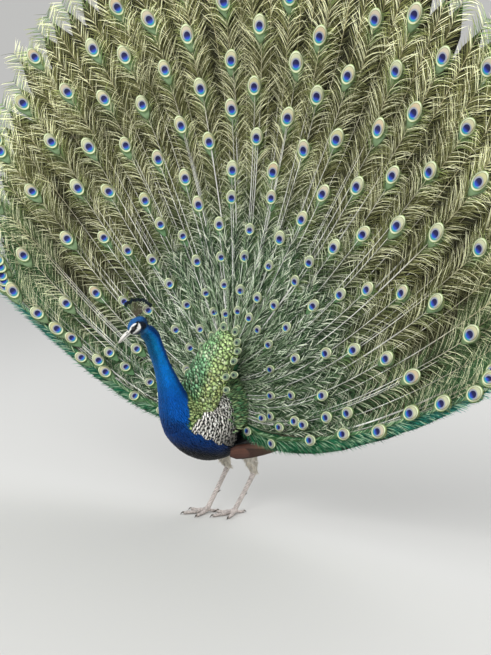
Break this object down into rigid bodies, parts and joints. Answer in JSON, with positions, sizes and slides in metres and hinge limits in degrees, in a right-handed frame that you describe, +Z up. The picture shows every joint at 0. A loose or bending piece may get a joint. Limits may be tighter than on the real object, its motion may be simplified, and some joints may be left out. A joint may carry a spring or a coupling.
{
  "type": "displaying peacock, life-size still model",
  "caption": "Life-size standing blue peacock with its eyed train raised in a full curved fan, wings half lowered and head bowed, as a still museum model.",
  "frame": {"origin": "on the floor, under the middle of the outline's box", "axes": "+Z up, -Y the way the fan faces, +X the bird's left"},
  "size_m": [2.3414, 0.5882, 1.9899],
  "materials": {
    "blue_feathers": "glossy cobalt-blue feathers, green-black below",
    "saddle_scales": "small metallic gold-green scale feathers",
    "barred_feathers": "matt cream feathers with wavy black bars",
    "chestnut_quills": "matt chestnut flight feathers",
    "thigh_feathers": "soft buff feathers",
    "leg_skin": "scaled grey-pink skin with horny claws",
    "horn": "smooth pale horn",
    "eye": "wet dark brown eye",
    "crest": "bare shafts with blue-green vanes",
    "tail_feathers": "matt grey-brown stiff feathers",
    "train_feathers": "loose bronze-green barbs with iridescent eye spots"
  },
  "bodies": {
    "root": {"head": "blue_feathers", "bill_upper": "horn", "bill_lower": "horn", "crest": "crest", "neck_upper": "blue_feathers", "neck_lower": "blue_feathers", "trunk": "blue_feathers", "saddle": "saddle_scales", "eye_left": "eye", "wing_left": "barred_feathers", "quills_left": "chestnut_quills", "thigh_left": "thigh_feathers", "tarsus_left": "leg_skin", "foot_left": "leg_skin", "tail_left": "tail_feathers", "eye_right": "eye", "wing_right": "barred_feathers", "quills_right": "chestnut_quills", "thigh_right": "thigh_feathers", "tarsus_right": "leg_skin", "foot_right": "leg_skin", "tail_right": "tail_feathers", "train_01": "train_feathers", "train_02": "train_feathers", "train_03": "train_feathers", "train_04": "train_feathers", "train_05": "train_feathers", "train_06": "train_feathers", "train_07": "train_feathers", "train_08": "train_feathers", "train_09": "train_feathers", "train_10": "train_feathers", "train_11": "train_feathers", "train_12": "train_feathers", "train_13": "train_feathers", "train_14": "train_feathers", "train_15": "train_feathers", "train_16": "train_feathers", "train_17": "train_feathers", "train_18": "train_feathers"}
  },
  "joints": []
}
